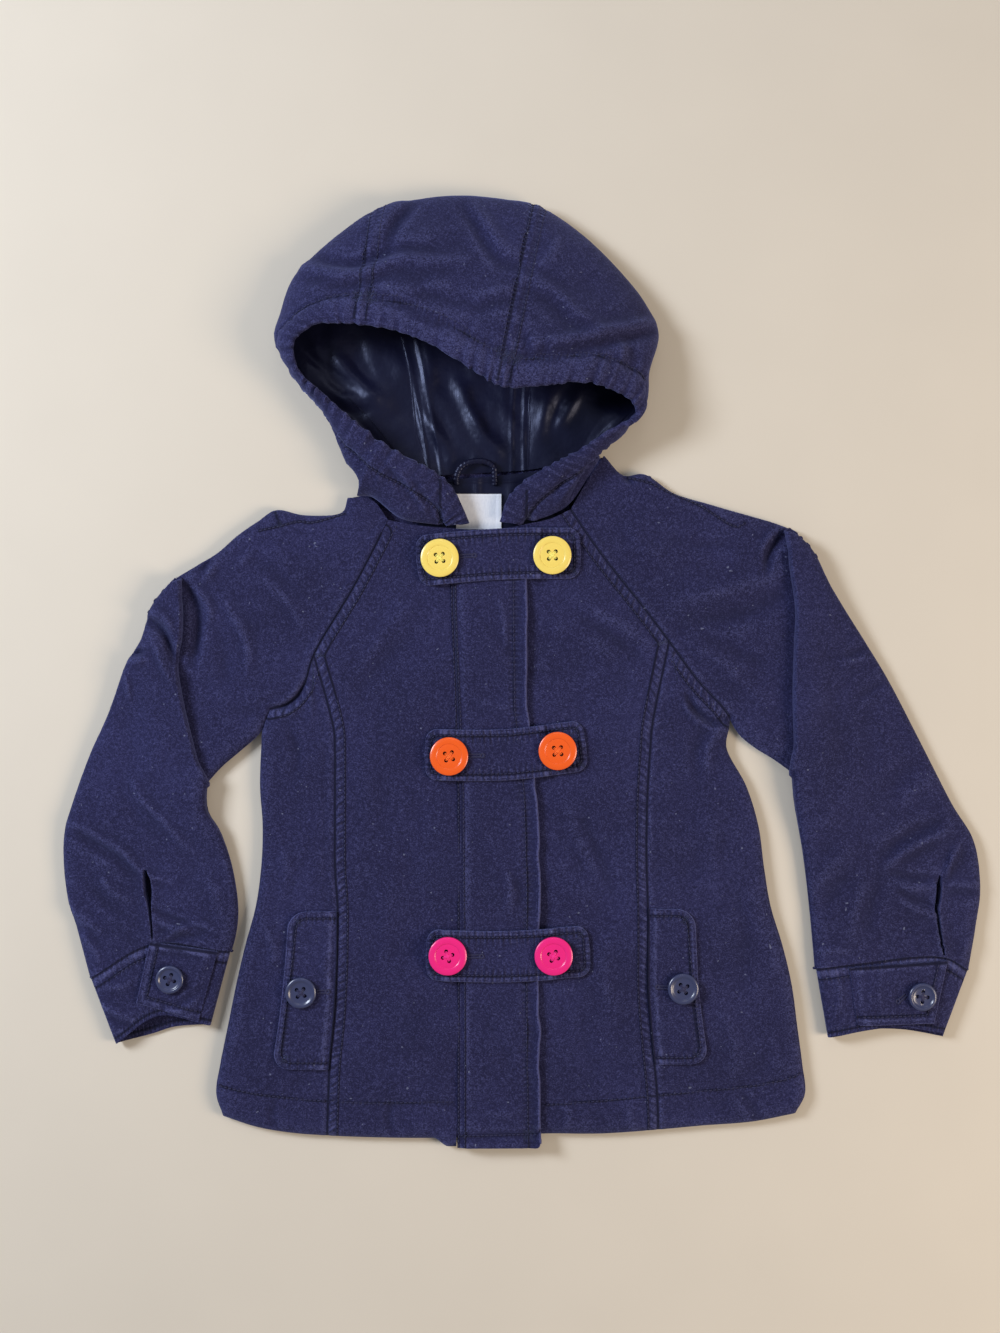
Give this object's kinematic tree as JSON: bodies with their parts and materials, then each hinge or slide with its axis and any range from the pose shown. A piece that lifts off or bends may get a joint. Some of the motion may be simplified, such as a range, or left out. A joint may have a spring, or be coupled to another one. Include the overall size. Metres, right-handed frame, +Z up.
{
  "type": "hooded coat",
  "caption": "Child's hooded coat of brushed navy cotton, laid flat on its back, fastened in front by button tabs.",
  "frame": {"origin": "middle of the coat's box, on the surface that it lies on", "axes": "+Z up from that surface, +Y up the coat towards the hood's crown, +X towards the wearer's left sleeve"},
  "size_m": [0.6888, 0.7138, 0.057],
  "materials": {
    "navy_cotton": "matt brushed cotton",
    "navy_satin": "glossy satin lining",
    "yellow_plastic": "gloss",
    "orange_plastic": "gloss",
    "pink_plastic": "gloss",
    "navy_plastic": "gloss",
    "white_label": "woven label, bare"
  },
  "bodies": {
    "root": {"back": "navy_cotton", "right_front": "navy_cotton", "left_front": "navy_cotton", "right_side_front": "navy_cotton", "left_side_front": "navy_cotton", "placket": "navy_cotton", "tab_top": "navy_cotton", "tab_middle": "navy_cotton", "tab_bottom": "navy_cotton", "right_flap": "navy_cotton", "left_flap": "navy_cotton", "right_sleeve_back": "navy_cotton", "left_sleeve_back": "navy_cotton", "right_sleeve_upper": "navy_cotton", "left_sleeve_upper": "navy_cotton", "right_sleeve_lower": "navy_cotton", "left_sleeve_lower": "navy_cotton", "right_sleeve_fold": "navy_cotton", "left_sleeve_fold": "navy_cotton", "right_cuff": "navy_cotton", "left_cuff": "navy_cotton", "right_cuff_end": "navy_cotton", "left_cuff_end": "navy_cotton", "hood_right": "navy_cotton", "hood_centre": "navy_cotton", "hood_left": "navy_cotton", "hood_lining_right": "navy_satin", "hood_lining_centre": "navy_satin", "hood_lining_left": "navy_satin", "neck_lining": "navy_satin", "hanger_loop": "navy_satin", "neck_label": "white_label", "button_top_right": "yellow_plastic", "button_top_left": "yellow_plastic", "button_middle_right": "orange_plastic", "button_middle_left": "orange_plastic", "button_bottom_right": "pink_plastic", "button_bottom_left": "pink_plastic", "pocket_button_right": "navy_plastic", "pocket_button_left": "navy_plastic", "cuff_button_right": "navy_plastic", "cuff_button_left": "navy_plastic"}
  },
  "joints": []
}
